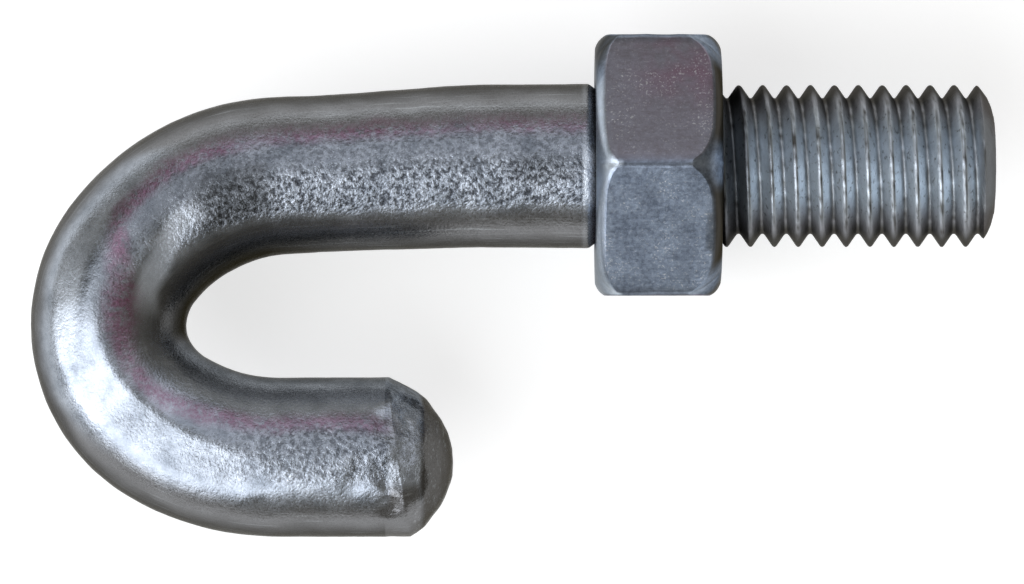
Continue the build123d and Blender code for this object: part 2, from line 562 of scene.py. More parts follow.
@dataclass
class HookBolt:
    """The bar, bent to a hook at one end, with its stud. Millimetres, along the bar from the nut's seat."""

    thread: ScrewThread
    bar_marks: BarMarks = BarMarks()
    stud_marks: StudMarks = StudMarks()
    route: tuple[Bend, ...] = (Bend(7.36), Bend(60.0, 2.9), Bend(12.68), Bend(14.45, 50.1), Bend(8.62, 96.3),
                               Bend(16.07, 30.7), Bend(7.7))
    segments: int = 96
    station_step: float = 0.25
    end_step: float = 0.11
    sharp_degrees: float = 38.0
    stud_finish_start: float = 0.2
    seat_profile: Table = ((-2.2, 4.8), (-1.4, 4.8), (-0.32, 4.8), (-0.3, 5.0), (-0.3, 5.4), (-0.26, 5.48),
                           (0.42, 5.97), (0.56, 6.02))
    half_widths: Table = (
        (0.56, 6.02), (8.1, 6.0), (10.8, 5.96), (13.4, 5.9), (16.0, 5.83), (18.7, 5.77), (20.0, 5.76),
        (24.0, 5.82), (26.6, 5.86), (30.5, 5.86), (34.4, 5.81), (39.6, 5.73), (43.5, 5.7), (47.7, 5.8),
        (51.8, 5.86), (66.4, 5.86))
    end_drop: float = 0.38
    end_profile: Table = (
        (0.3, 6.3), (0.6, 6.15), (1.2, 5.88), (1.9, 5.53), (2.45, 5.2), (2.93, 4.83), (3.08, 4.7),
        (3.35, 4.36), (3.66, 3.95), (4.0, 3.52), (4.25, 3.15), (4.68, 2.27), (5.0, 1.25),
        (5.12, 0.5), (5.15, 0.02))
    tip_reach: float = 0.01
    dents: tuple[Dent, ...] = (
        Dent(67.6, 62, 2.2, 0.34), Dent(68.6, 40, 1.5, 0.2), Dent(67.2, 100, 1.7, 0.26),
        Dent(68.2, 86, 1.2, 0.2), Dent(67.1, 126, 1.1, 0.16), Dent(65.3, 96, 1.5, 0.12),
        Dent(64.2, 108, 1.2, 0.08), Dent(69.1, 110, 1.6, 0.14), Dent(67.5, 200, 2.4, 0.2),
        Dent(68.3, 300, 2.0, 0.22), Dent(66.9, 248, 1.4, 0.12), Dent(13.3, 146, 1.3, 0.07),
        Dent(58.0, 128, 1.2, 0.05), Dent(33.0, 250, 3.0, 0.08), Dent(49.0, 290, 3.4, 0.07))
    dent_radius: float = 5.8
    dent_search: float = 1.0
    dent_fall: Band = Band(fall=(0.35, 1.0))
    dent_ripple: Ripple = Ripple(0.35, 1.3)
    # the flats on the heel and on the crown, each on both faces of the hook
    die_flats: tuple[DieFlat, ...] = (
        DieFlat(Band((33.0, 43.0), (55.0, 61.0)),
                ((38.0, 124.0), (43.0, 111.0), (48.0, 97.5), (54.0, 101.0), (60.0, 107.0)), 0.22),
        DieFlat(Band((27.0, 33.0), (38.0, 44.0)),
                ((29.0, 81.0), (33.0, 74.0), (36.0, 64.0), (41.0, 56.0)), 0.12))
    rolled_start: Band = Band((0.7, 2.5))
    rolled_ripples: tuple[Ripple, ...] = (Ripple(0.028, 0.22), Ripple(0.022, 0.55, (7.0, 0.0, 0.0)),
                                          Ripple(0.011, 1.5, (0.0, 9.0, 0.0)))
    rolled_sink: float = 0.03
    rough_end: Band = Band((65.5, 67.0))
    rough_ripple: Ripple = Ripple(0.05, 0.9, (3.0, 3.0, 3.0))
    wrap_radius: float = 5.9
    wrap_shrink: Band = Band((68.6, 71.6))
    wrap_shrink_share: float = 0.98
    stud_end: Table = ((2.35, 4.8), (2.45, 4.8), (3.6, 5.95), (27.9, 5.95), (28.1, 5.76), (28.62, 5.06),
                       (28.9, 4.46), (29.04, 3.95), (29.1, 3.66), (29.2, 3.6))
    # the stud's end face, as radii and how far they lie below it
    stud_face: Table = ((3.3, 0.0), (2.8, 0.03), (1.6, 0.05), (0.5, 0.05))
    stud_length: float = 29.1
    neck_start: float = 2.35
    crest_worn_from: float = 5.85
    crest_worn_share: float = 0.25
    crest_worn_rate: float = 1.9

    @property
    def bar_end(self) -> float:
        """Where the free end begins, in millimetres along the bar."""
        return sum(bend.length for bend in self.route)

    @property
    def tip_place(self) -> float:
        """Where the free end's tip is, in millimetres along the bar."""
        return self.bar_end + self.end_profile[-1][0]

    def axis(self, place: float) -> tuple[Vector, Vector, Vector]:
        """Follows the bar's axis.

        Args:
            place: How far along the bar, in millimetres.

        Returns:
            The point, and the unit directions of travel and to the inside of the bend.
        """
        x, y, heading = 0.0, 0.0, math.pi
        left = place
        for bend in self.route:
            step = min(left, bend.length) if bend is not self.route[-1] else left
            if bend.turn:
                turn = step / bend.size
                x += bend.size * (math.sin(heading + turn) - math.sin(heading))
                y += bend.size * (math.cos(heading) - math.cos(heading + turn))
                heading += turn
            else:
                x += step * math.cos(heading)
                y += step * math.sin(heading)
            left -= step
            if left <= 0:
                break
        forward = Vector((math.cos(heading), math.sin(heading), 0.0))
        return Vector((x, y, 0.0)), forward, Vector((-forward.y, forward.x, 0.0))

    def station(self, place: float, radius: float) -> Matrix:
        """The placing of a unit ring square to the bar.

        Args:
            place: How far along the bar, in millimetres.
            radius: The ring's radius, in millimetres.

        Returns:
            A matrix whose x goes to the inside of the bend and whose y goes to +Z.
        """
        point, forward, inner = self.axis(place)
        turned = Matrix((inner, Vector((0, 0, 1)), forward)).transposed().to_4x4()
        return Matrix.Translation(point * MM) @ turned @ Matrix.Scale(radius * MM, 4)

    def build(self, bar: bpy.types.Material, stud: bpy.types.Material) -> bpy.types.Object:
        """Builds the whole bolt as one skin.

        Args:
            bar: The bar's finish.
            stud: The threaded stud's finish.

        Returns:
            The piece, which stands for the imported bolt.
        """
        bm = bmesh.new()
        self.loft_bar(bm)
        self.shape_end(bm)
        self.press_flats(bm)
        self.roughen(bm)
        self.cut_stud(bm)
        self.mark(bm)
        for face in bm.faces:
            on_stud = min(v.co.x for v in face.verts) > self.stud_finish_start * MM
            face.material_index = 1 if on_stud else 0
        piece = finish_mesh(bm, "bolt", [bar, stud], Body.HOOK, self.sharp_degrees)
        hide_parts("hook_bolt")
        return piece

    def stations(self) -> list[tuple[float, float]]:
        """Places and radii of the rings, from the stud's neck to the free end's tip."""
        first, last = self.seat_profile[-1][0], self.bar_end
        count = round((last - first) / self.station_step)
        places = [first + (last - first) * i / count for i in range(1, count + 1)]
        end_length = self.end_profile[-1][0]
        end_count = round(end_length / self.end_step)
        places += [last + end_length * i / end_count for i in range(1, end_count + 1)]
        return list(self.seat_profile) + [(place, along_table(self.half_widths, place)) for place in places]

    def loft_bar(self, bm: bmesh.types.BMesh) -> None:
        """Draws rings from the stud's neck to the free end, each one extruded from the last."""
        along = bm.verts.layers.float.new("along")
        around = bm.verts.layers.float.new("around")
        ring = bmesh.ops.create_circle(bm, segments=self.segments, radius=1.0)["verts"]
        for v in ring:
            v[around] = math.atan2(v.co.y, v.co.x) % math.tau
        old = Matrix.Identity(4)
        edges = list({e for v in ring for e in v.link_edges})
        for i, (place, radius) in enumerate(self.stations()):
            if i:
                ring, edges = grow(bm, edges)
            new = self.station(place, radius)
            bmesh.ops.transform(bm, matrix=new @ old.inverted(), verts=ring)
            for v in ring:
                v[along] = place
            old = new
        bmesh.ops.pointmerge(bm, verts=ring, merge_co=self.end_middle(self.tip_place))

    def end_middle(self, place: float) -> Vector:
        """A point of the free end's own axis, in metres, at a place along the bar."""
        point, _, inner = self.axis(place)
        return (point - inner * self.end_drop) * MM

    def shape_end(self, bm: bmesh.types.BMesh) -> None:
        """Presses the free end's skin in to its rounded shoulder, about an axis a little below the bar's."""
        along = bm.verts.layers.float["along"]
        start, tip = self.bar_end, self.end_middle(self.tip_place)
        for v in bm.verts:
            past = v[along] - start
            if past < self.end_profile[0][0] or (v.co - tip).length < self.tip_reach * MM:
                continue
            middle = self.end_middle(v[along])
            arm = v.co - middle
            limit = along_table(self.end_profile, past) * MM
            if arm.length > limit:
                v.co = middle + arm * (limit / arm.length)

    def press_flats(self, bm: bmesh.types.BMesh) -> None:
        """Presses in the long flats of the bending dies, alike on both faces of the hook."""
        along = bm.verts.layers.float["along"]
        around = bm.verts.layers.float["around"]
        for v in bm.verts:
            for flat in self.die_flats:
                depth = flat.depth * flat.along.at(v[along])
                if depth <= 0.0:
                    continue
                radius = along_table(self.half_widths, v[along])
                for side in (1, -1):
                    angle = side * math.radians(along_table(flat.angles, v[along]))
                    over = math.cos(v[around] - angle) * radius - (radius - depth)
                    if over > 0.0:
                        aim = self.station(v[along], 1.0).to_3x3()
                        v.co -= aim @ Vector((math.cos(angle), math.sin(angle), 0.0)) * over

    def dent_centres(self, bm: bmesh.types.BMesh) -> list[tuple[Vector, Dent]]:
        """Finds where each dent's middle lies on the bar's skin, in metres."""
        along = bm.verts.layers.float["along"]
        centres = []
        for dent in self.dents:
            angle = math.radians(dent.angle)
            aim = self.station(dent.place, self.dent_radius) @ Vector((math.cos(angle), math.sin(angle), 0.0))
            near = [v for v in bm.verts if abs(v[along] - dent.place) < self.dent_search]
            centres.append((min(near, key=lambda v: (v.co - aim).length).co.copy(), dent))
        return centres

    def roughen(self, bm: bmesh.types.BMesh) -> None:
        """Gives the bar its rolled unevenness, its ragged end and its dents."""
        along = bm.verts.layers.float["along"]
        bm.normal_update()
        centres = self.dent_centres(bm)
        moves = {}
        for v in bm.verts:
            if v[along] < self.rolled_start.rise[0]:
                continue
            point = v.co / MM
            push = sum(ripple.at(point) for ripple in self.rolled_ripples) - self.rolled_sink
            push *= self.rolled_start.at(v[along])
            push += self.rough_end.at(v[along]) * self.rough_ripple.at(point)
            for centre, dent in centres:
                gap = (v.co - centre).length / MM / dent.width
                if gap < 1.0:
                    push -= dent.depth * (1.0 + self.dent_ripple.at(point)) * self.dent_fall.at(gap)
            moves[v] = push
        for v, push in moves.items():
            v.co += v.normal * push * MM

    def cut_stud(self, bm: bmesh.types.BMesh) -> None:
        """Winds the thread on the stud, runs it out at the neck and closes the stud's end."""
        ribbon = bmesh.new()
        self.thread.wind(ribbon, self.stud_length, 1, self.stud_radius)
        self.thread.trim(ribbon, self.neck_start, self.stud_length)
        take_in(bm, ribbon)
        neck = self.thread.rim(bm, -self.seat_profile[0][0]) + self.thread.rim(bm, self.neck_start)
        bmesh.ops.bridge_loops(bm, edges=neck)
        edges = self.thread.rim(bm, self.stud_length)
        for radius, depth in self.stud_face:
            ring, edges = grow(bm, edges)
            for v in ring:
                move_from_axis(v, radius)
                v.co.x = (self.stud_length - depth) * MM
        bmesh.ops.pointmerge(bm, verts=ring, merge_co=(ring[0].co.x, 0, 0))

    def stud_radius(self, x: float, ridge: float) -> float:
        """The stud's radius, with its crests slightly rubbed and its ends turned down.

        Args:
            x: The place along the stud, in millimetres.
            ridge: The new ridge's radius there, in millimetres.

        Returns:
            The radius, in millimetres.
        """
        above = max(0.0, ridge - self.crest_worn_from)
        worn = ridge - above * self.crest_worn_share * (0.5 + 0.5 * math.sin(x * self.crest_worn_rate))
        return min(worn, along_table(self.stud_end, x))

    def mark(self, bm: bmesh.types.BMesh) -> None:
        """Writes where the bolt is marked, and its distances along and around the bar for the draw lines."""
        along = bm.verts.layers.float["along"]
        around = bm.verts.layers.float["around"]
        wrap = bm.verts.layers.float_vector.new("wrap")
        layers = [bm.verts.layers.float.new(name) for name in Marks._fields]
        for v in bm.verts:
            point = v.co / MM
            if v.co.x > 0.0:
                marks = self.stud_marks.at(point)
                v[wrap] = point
            else:
                marks = self.bar_marks.at(v[along], v[around], point)
                arm = self.wrap_radius * (1 - self.wrap_shrink_share * self.wrap_shrink.at(v[along]))
                v[wrap] = Vector((v[along], arm * math.cos(v[around]), arm * math.sin(v[around])))
            for layer, value in zip(layers, marks):
                v[layer] = min(1.0, max(0.0, value))


class NutMarks(NamedTuple):
    """How mauve, pink, oily and pale a point of the nut is, each from 0 to 1; the pale mark is rubbed zinc
    with a painted highlight.
    """

    stain: float
    blush: float
    oil: float
    bright: float


@dataclass(frozen=True)
class NutWear:
    """Where the nut is tinted, oily, darkened and rubbed bright with a painted highlight, in millimetres and
    degrees.
    """

    chamfer_edge: tuple[float, float] = (0.05, 0.25)
    # a mauve tint on every other flat, the upper one among them
    stained_flat: Band = Band(fall=(27.0, 30.0))
    wall: Band = Band((9.0, 9.3))
    blush: float = 0.55
    blush_along: Band = Band((1.0, 6.0))
    blush_across: Band = Band((0.1, 0.4))
    corner: Band = Band((26.0, 30.0))
    corner_radius: Band = Band((9.6, 10.6))
    beside_corner: Band = Band((17.0, 27.0))
    beside_spared: float = 0.75
    mouth_oil: Band = Band((-1.0, 2.0))
    # darker towards the top of the shank end's chamfer
    top_oil: float = 0.8
    top_oil_height: Band = Band((6.0, 8.0))
    corner_oil: float = 0.45
    # the shank end's chamfer is rubbed pale with a painted highlight, strongest at the corners and gone
    # towards the top; the stud end's corners get a faint one
    bright_rest: float = 0.55
    bright_height: Band = Band(fall=(5.0, 7.0))
    far_bright: float = 0.2

    def at(self, point: Vector, near_edge: float, far_edge: float, outer: float, width: float) -> NutMarks:
        """Says how the nut's skin is marked.

        Args:
            point: The point, in millimetres.
            near_edge: The place along X where the chamfer at the shank's end stops here.
            far_edge: The place along X where the chamfer at the stud's end starts here.
            outer: How far out the point lies, from 0 at the bore's mouth to 1 at the face's rim.
            width: The nut's width across its flats.

        Returns:
            Its marks.
        """
        radius = from_axis(point)
        angle = math.degrees(math.atan2(point.z, point.y)) % 360
        onto, off = self.chamfer_edge
        near = fade(point.x, near_edge + onto, near_edge - off)
        far = fade(point.x, far_edge - onto, far_edge + off)
        wall = self.wall.at(radius) * (1 - near) * (1 - far)
        stain = self.stained_flat.at(abs(angle % 120 - 60)) * wall
        turn = abs((angle - 30) % 60 - 30)
        corner = self.corner.at(turn) * self.corner_radius.at(radius)
        oil = max(far * (1 - self.beside_spared * self.beside_corner.at(turn)),
                  (1 - outer) * self.mouth_oil.at(point.x),
                  self.top_oil * near * self.top_oil_height.at(point.y),
                  self.corner_oil * corner * wall)
        bright = near * (self.bright_rest + (1 - self.bright_rest) * corner) * outer
        bright = bright * self.bright_height.at(point.y) + far * corner * self.far_bright
        blush = self.blush * self.blush_along.at(point.x) * self.blush_across.at(abs(point.y) / width)
        return NutMarks(stain, stain * blush, oil, bright)


@dataclass
class HexNut:
    """The nut: a hexagon with its ends turned to a cone, threaded through. Millimetres."""

    thread: ScrewThread
    marks: NutWear = NutWear()
    across_flats: float = 19.0
    height: float = 9.15
    face_radius: float = 8.65
    # how far each end's chamfer reaches down the flats, by the distance from the axis
    near_depths: Table = ((9.5, 0.7), (9.8, 0.74), (10.05, 0.8), (10.3, 0.93), (10.55, 1.12), (10.8, 1.48),
                          (10.97, 1.85))
    far_depths: Table = ((9.5, 0.78), (9.8, 0.86), (10.05, 1.0), (10.3, 1.25), (10.55, 1.62), (10.8, 2.2),
                         (10.97, 2.75))
    wall_steps: int = 7
    chamfer_steps: int = 7
    chamfer_round: float = 0.55
    face_steps: tuple[float, ...] = (0.15, 0.5, 1.0)
    mouth_radius: float = 6.3
    mouth_slope: float = math.tan(math.radians(60.0))
    mouth_sink: float = 0.12
    crest_radius: float = 5.15
    clearance: float = 0.09
    corner_round: float = 0.42
    corner_segments: int = 5
    # longer edges than this, across the flats, are cut up
    long_edge: float = 4.0
    corner_loss: float = 0.09
    flat_cuts: int = 22
    sharp_degrees: float = 26.0
    wear_start: float = 0.05
    wear_depth: float = 0.014
    wear_ripple: Ripple = Ripple(0.014, 0.5)
    corner_band: Band = Band((10.2, 10.9))
    corner_depth: float = 0.03
    corner_ripple: Ripple = Ripple(0.05, 1.1)

    @property
    def corner_radius(self) -> float:
        """The hexagon's radius at its corners, before they are rounded."""
        return self.across_flats / 2 / math.cos(math.radians(30))

    def build(self, material: bpy.types.Material) -> bpy.types.Object:
        """Builds the nut as one closed skin.

        Args:
            material: The nut's finish.

        Returns:
            The piece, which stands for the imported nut.
        """
        bm = bmesh.new()
        self.raise_walls(bm)
        self.wear(bm)
        self.cut_bore(bm)
        self.mark(bm)
        piece = finish_mesh(bm, "nut", [material], Body.NUT, self.sharp_degrees)
        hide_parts("hex_nut")
        return piece

    def raise_walls(self, bm: bmesh.types.BMesh) -> None:
        """Extrudes the six flats from one rounded hexagon and turns both ends in to the bore's mouths."""
        corners = bmesh.ops.create_circle(bm, segments=6, radius=self.corner_radius * MM)["verts"]
        bmesh.ops.bevel(bm, geom=corners, affect="VERTICES", offset=self.corner_round * MM,
                        offset_type="OFFSET", segments=self.corner_segments, profile=0.5, material=-1)
        long_edges = [e for e in bm.edges if e.calc_length() > self.long_edge * MM]
        bmesh.ops.subdivide_edges(bm, edges=long_edges, cuts=self.flat_cuts)
        turn = Matrix(((0, 0, 1), (1, 0, 0), (0, 1, 0))).to_4x4()
        bmesh.ops.transform(bm, matrix=turn, verts=bm.verts)
        middle, start = list(bm.verts), list(bm.edges)
        for side in NutEnd:
            self.grow_side(bm, start, side)
        for v in middle:
            v.co.x = self.height / 2 * MM

    def grow_side(self, bm: bmesh.types.BMesh, edges: list[bmesh.types.BMEdge], side: NutEnd) -> None:
        """Extrudes from the middle of the flats to one end's mouth.

        Args:
            bm: The nut's mesh.
            edges: The ring at the middle of the flats.
            side: The end to build.
        """
        levels = [(Stretch.WALL, (i + 1) / self.wall_steps) for i in range(self.wall_steps)]
        levels += [(Stretch.CHAMFER, (i + 1) / self.chamfer_steps) for i in range(self.chamfer_steps)]
        levels += [(Stretch.FACE, share) for share in self.face_steps]
        for stretch, share in levels:
            ring, edges = grow(bm, edges)
            for v in ring:
                self.place_vertex(v, stretch, share, side)

    def place_vertex(self, v: bmesh.types.BMVert, stretch: Stretch, share: float, side: NutEnd) -> None:
        """Puts a ring's vertex at its depth and radius.

        Args:
            v: The vertex, at the last ring's place.
            stretch: The stretch that the ring is on.
            share: How far along the stretch, up to 1.
            side: The end that it belongs to.
        """
        depths = self.far_depths if side is NutEnd.STUD else self.near_depths
        if stretch is Stretch.WALL:
            radius = from_axis(v.co) / MM
            depth = self.height / 2 + (along_table(depths, radius) - self.height / 2) * share
        elif stretch is Stretch.CHAMFER:
            top = self.wall_radius(v.co)
            quarter = share * math.pi / 2
            inward = share + self.chamfer_round * (1 - math.cos(quarter) - share)
            upward = share + self.chamfer_round * (math.sin(quarter) - share)
            radius = top + (self.face_radius - top) * inward
            depth = along_table(depths, top) * (1 - upward)
        else:
            radius = self.face_radius + (self.mouth_radius - self.face_radius) * share
            depth = 0.0
        v.co.x = (self.height - depth if side is NutEnd.STUD else depth) * MM
        move_from_axis(v, radius)

    def wall_radius(self, point: Vector) -> float:
        """The rounded hexagon's radius in a point's direction, in millimetres."""
        off = (math.atan2(point.z, point.y) + math.radians(30)) % math.radians(60) - math.radians(30)
        flat = self.across_flats / 2 / math.cos(off)
        return min(flat, self.corner_radius - self.corner_round * self.corner_loss)

    def wear(self, bm: bmesh.types.BMesh) -> None:
        """Knocks small hollows into the flats and takes the keenness off the corners."""
        for v in bm.verts:
            point = v.co / MM
            radius = from_axis(point)
            if radius < self.face_radius + self.wear_start:
                continue
            corner = self.corner_band.at(radius) * (self.corner_depth + self.corner_ripple.at(point))
            move_from_axis(v, radius - self.wear_depth - self.wear_ripple.at(point) - corner)

    def mark(self, bm: bmesh.types.BMesh) -> None:
        """Writes where the nut is tinted, oily, darkened and rubbed bright with a painted highlight."""
        layers = [bm.verts.layers.float.new(name) for name in NutMarks._fields]
        for v in bm.verts:
            wall = self.wall_radius(v.co)
            outer = fade(from_axis(v.co) / MM, self.mouth_radius, self.face_radius)
            marks = self.marks.at(v.co / MM, along_table(self.near_depths, wall),
                                  self.height - along_table(self.far_depths, wall), outer, self.across_flats)
            for layer, value in zip(layers, marks):
                v[layer] = value

    def cut_bore(self, bm: bmesh.types.BMesh) -> None:
        """Winds the nut's thread inside the bore and joins it to both mouths."""
        ribbon = bmesh.new()
        self.thread.wind(ribbon, self.height, 2, self.bore_radius)
        self.thread.trim(ribbon, 0.0, self.height)
        take_in(bm, ribbon)
        for place in (0.0, self.height):
            bmesh.ops.bridge_loops(bm, edges=self.thread.rim(bm, place))

    def bore_radius(self, x: float, ridge: float) -> float:
        """The bore's radius over a ridge of the stud, widened at both mouths.

        Args:
            x: The place along the nut, in millimetres.
            ridge: The stud's radius there, in millimetres.

        Returns:
            The radius, in millimetres.
        """
        thread = max(self.crest_radius, ridge + self.clearance)
        mouth = self.mouth_radius - self.mouth_sink - min(x, self.height - x) * self.mouth_slope
        return max(thread, mouth)


def empty_material(name: str) -> bpy.types.Material:
    """Makes a material that has no nodes yet."""
    material = bpy.data.materials.new(name)
    material.use_nodes = True
    material.node_tree.nodes.clear()
    return material


@dataclass(frozen=True)
class Grain:
    """A random pattern: the size of its lumps in millimetres, and how finely it is broken up."""

    size: float
    detail: float
    roughness: float = 0.5
    distortion: float = 0.0

    def settings(self) -> dict[str, object]:
        """The noise's settings, for coordinates in metres."""
        return {"Scale": 1 / (self.size * MM), "Detail": self.detail, "Roughness": self.roughness,
                "Distortion": self.distortion}


@dataclass(frozen=True)
class ZincFinish:
    """What the zinc finishes share: they lie on the object's own coordinates, painted by its marks."""

    name: str
    # zinc greys towards its outline, where a plain metal would go white
    edge_tint: str = "a5a39e"

    def start(self, marks: Sequence[str]) -> tuple[bpy.types.Material, Socket, dict[str, Socket]]:
        """Starts the material.

        Args:
            marks: The names of the marks that it reads.

        Returns:
            The material, the object's own coordinates, and each mark's amount by name.
        """
        material = empty_material(self.name)
        tree = material.node_tree
        where = add_node(tree, "ShaderNodeTexCoord").outputs["Object"]
        masks = {mark: add_node(tree, "ShaderNodeAttribute", {"attribute_name": mark}).outputs["Fac"]
                 for mark in marks}
        return material, where, masks

    def close(self, tree: bpy.types.NodeTree, settings: dict[str, object], links: dict[str, Socket]) -> None:
        """Adds the shader, with the tint of its edges, and the output."""
        shader = add_node(tree, "ShaderNodeBsdfPrincipled",
                          {"Specular Tint": linear(self.edge_tint)} | settings, links)
        add_node(tree, "ShaderNodeOutputMaterial", {}, {"Surface": shader.outputs[0]})


@dataclass(frozen=True)
class ZincOnBar(ZincFinish):
    """Hot-dip zinc on a rolled steel bar: mid grey and half bright, with a pitted skin that sparkles."""

    name: str = "zinc_coated_rolled_bar"
    light: str = "b2b9c3"
    dark: str = "7b828b"
    pit: str = "2e3137"
    brown: str = "757474"
    drawn: str = "aeb2b6"
    soot: str = "25241f"
    red: str = "84536e"
    rubbed: str = "d5dce4"
    pits: Grain = Grain(1 / 2.7, 3.0, 0.68, 0.2)
    crystals: Grain = Grain(1 / 6.0, 2.0, 0.6)
    clouds: Grain = Grain(1 / 0.5, 5.0, 0.65)
    patches: Grain = Grain(1 / 1.7, 6.0, 0.85)
    # the draw lines' length and spacing, in millimetres
    line_length: float = 1 / 0.15
    line_gap: float = 1 / 4.2
    # how deep the pits, the crystals and the draw lines are, in millimetres
    pit_depth: float = 0.16
    crystal_depth: float = 0.04
    line_depth: float = 0.03

    def build(self) -> bpy.types.Material:
        """Makes the material with its pits, draw lines, stain, grime, painted shade and painted highlights.
        """
        material, where, masks = self.start(Marks._fields)
        tree = material.node_tree
        coarse, fine, cloud, patches = (
            add_node(tree, "ShaderNodeTexNoise", grain.settings(), {"Vector": where}).outputs["Fac"]
            for grain in (self.pits, self.crystals, self.clouds, self.patches))
        # the draw lines lie on distances along and around the bar, which are in millimetres
        wrap = add_node(tree, "ShaderNodeAttribute", {"attribute_name": "wrap"})
        squeeze = (1 / self.line_length, 1 / self.line_gap, 1 / self.line_gap)
        long_way = add_node(tree, "ShaderNodeMapping", {"Scale": squeeze}, {"Vector": wrap.outputs["Vector"]})
        lines = add_node(tree, "ShaderNodeTexNoise", {"Scale": 1.0, "Detail": 3.0, "Roughness": 0.65},
                         {"Vector": long_way.outputs[0]}).outputs["Fac"]
        shade = add_node(tree, "ShaderNodeMapRange", {"From Min": 0.3, "From Max": 0.7}, {"Value": cloud})
        colour = add_node(tree, "ShaderNodeMix",
                          {"data_type": "RGBA", 6: linear(self.dark), 7: linear(self.light)},
                          {0: shade.outputs[0]})
        # each coat lies over the last one, where its mark is and where its pattern, if any, lets it
        # the near-black soot coat is mostly painted shade
        coats = ((self.pit, "pits", coarse, {"From Min": 0.55, "From Max": 0.4, "To Max": 0.88}),
                 (self.brown, "grime", None, {}),
                 (self.drawn, "grime", lines, {"From Min": 0.58, "From Max": 0.66, "To Max": 0.6}),
                 (self.soot, "soot", None, {}),
                 (self.red, "stain", patches, {"From Min": 0.36, "From Max": 0.56}),
                 (self.rubbed, "rub", None, {}))
        for paint, mark, pattern, levels in coats:
            amount = masks[mark]
            if pattern is not None:
                spread = add_node(tree, "ShaderNodeMapRange", levels, {"Value": pattern})
                amount = add_node(tree, "ShaderNodeMath", {"operation": "MULTIPLY"},
                                  {0: spread.outputs[0], 1: amount}).outputs[0]
            colour = add_node(tree, "ShaderNodeMix", {"data_type": "RGBA", 7: linear(paint)},
                              {0: amount, 6: colour.outputs[2]})
        rough = add_node(tree, "ShaderNodeMapRange",
                         {"From Min": 0.3, "From Max": 0.7, "To Min": 0.2, "To Max": 0.36}, {"Value": fine})
        relief = add_node(tree, "ShaderNodeMapRange", {"To Min": 0.15, "To Max": 1.0},
                          {"Value": masks["pits"]})
        bump = add_node(tree, "ShaderNodeBump", {"Distance": self.pit_depth * MM},
                        {"Height": coarse, "Strength": relief.outputs[0]})
        for height, depth, strength in ((fine, self.crystal_depth, 0.45), (lines, self.line_depth, 0.2)):
            bump = add_node(tree, "ShaderNodeBump", {"Distance": depth * MM, "Strength": strength},
                            {"Height": height, "Normal": bump.outputs[0]})
        # the pale places carry a chalky zinc bloom, which is no metal; their colour is also a painted
        # highlight
        metal = add_node(tree, "ShaderNodeMapRange", {"To Min": 1.0, "To Max": 0.35}, {"Value": masks["rub"]})
        self.close(tree, {}, {"Base Color": colour.outputs[2], "Metallic": metal.outputs[0],
                              "Roughness": rough.outputs[0], "Normal": bump.outputs[0]})
        return material


@dataclass(frozen=True)
class ZincOnThread(ZincFinish):
    """Hot-dip zinc on a rolled thread: paler and cleaner than the bar's, with dark dirt in the roots."""

    name: str = "zinc_coated_rolled_thread"
    light: str = "dce6ee"
    dark: str = "a2abb5"
    root: str = "45433f"
    blush: str = "857f82"
    # near-black paint for the nut's painted shadow
    soot: str = "2a2c33"
    clouds: Grain = Grain(1 / 1.1, 5.0, 0.65)
    specks: Grain = Grain(1 / 2.8, 4.0)
    crystals: Grain = Grain(1 / 3.6, 3.0, 0.6)
    crystal_depth: float = 0.08

    def build(self) -> bpy.types.Material:
        """Makes the material with its specks, its dirty roots, painted shade towards its outlines and the
        nut's painted shadow.
        """
        material, where, masks = self.start(("stain", "grime", "soot"))
        tree = material.node_tree
        cloud, speck, fine = (
            add_node(tree, "ShaderNodeTexNoise", grain.settings(), {"Vector": where}).outputs["Fac"]
            for grain in (self.clouds, self.specks, self.crystals))
        colour = add_node(tree, "ShaderNodeMix",
                          {"data_type": "RGBA", 6: linear(self.dark), 7: linear(self.light)}, {0: cloud})
        # the specks of dirt lie where their noise is at its lowest
        specks = add_node(tree, "ShaderNodeMapRange", {"From Min": 0.42, "From Max": 0.28, "To Max": 0.7},
                          {"Value": speck})
        dirt = add_node(tree, "ShaderNodeMath", {"operation": "MAXIMUM"},
                        {0: masks["grime"], 1: specks.outputs[0]})
        coats = ((self.blush, masks["stain"]), (self.root, dirt.outputs[0]), (self.soot, masks["soot"]))
        for paint, amount in coats:
            colour = add_node(tree, "ShaderNodeMix", {"data_type": "RGBA", 7: linear(paint)},
                              {0: amount, 6: colour.outputs[2]})
        bump = add_node(tree, "ShaderNodeBump", {"Distance": self.crystal_depth * MM, "Strength": 0.55},
                        {"Height": fine})
        self.close(tree, {"Metallic": 1.0, "Roughness": 0.45},
                   {"Base Color": colour.outputs[2], "Normal": bump.outputs[0]})
        return material


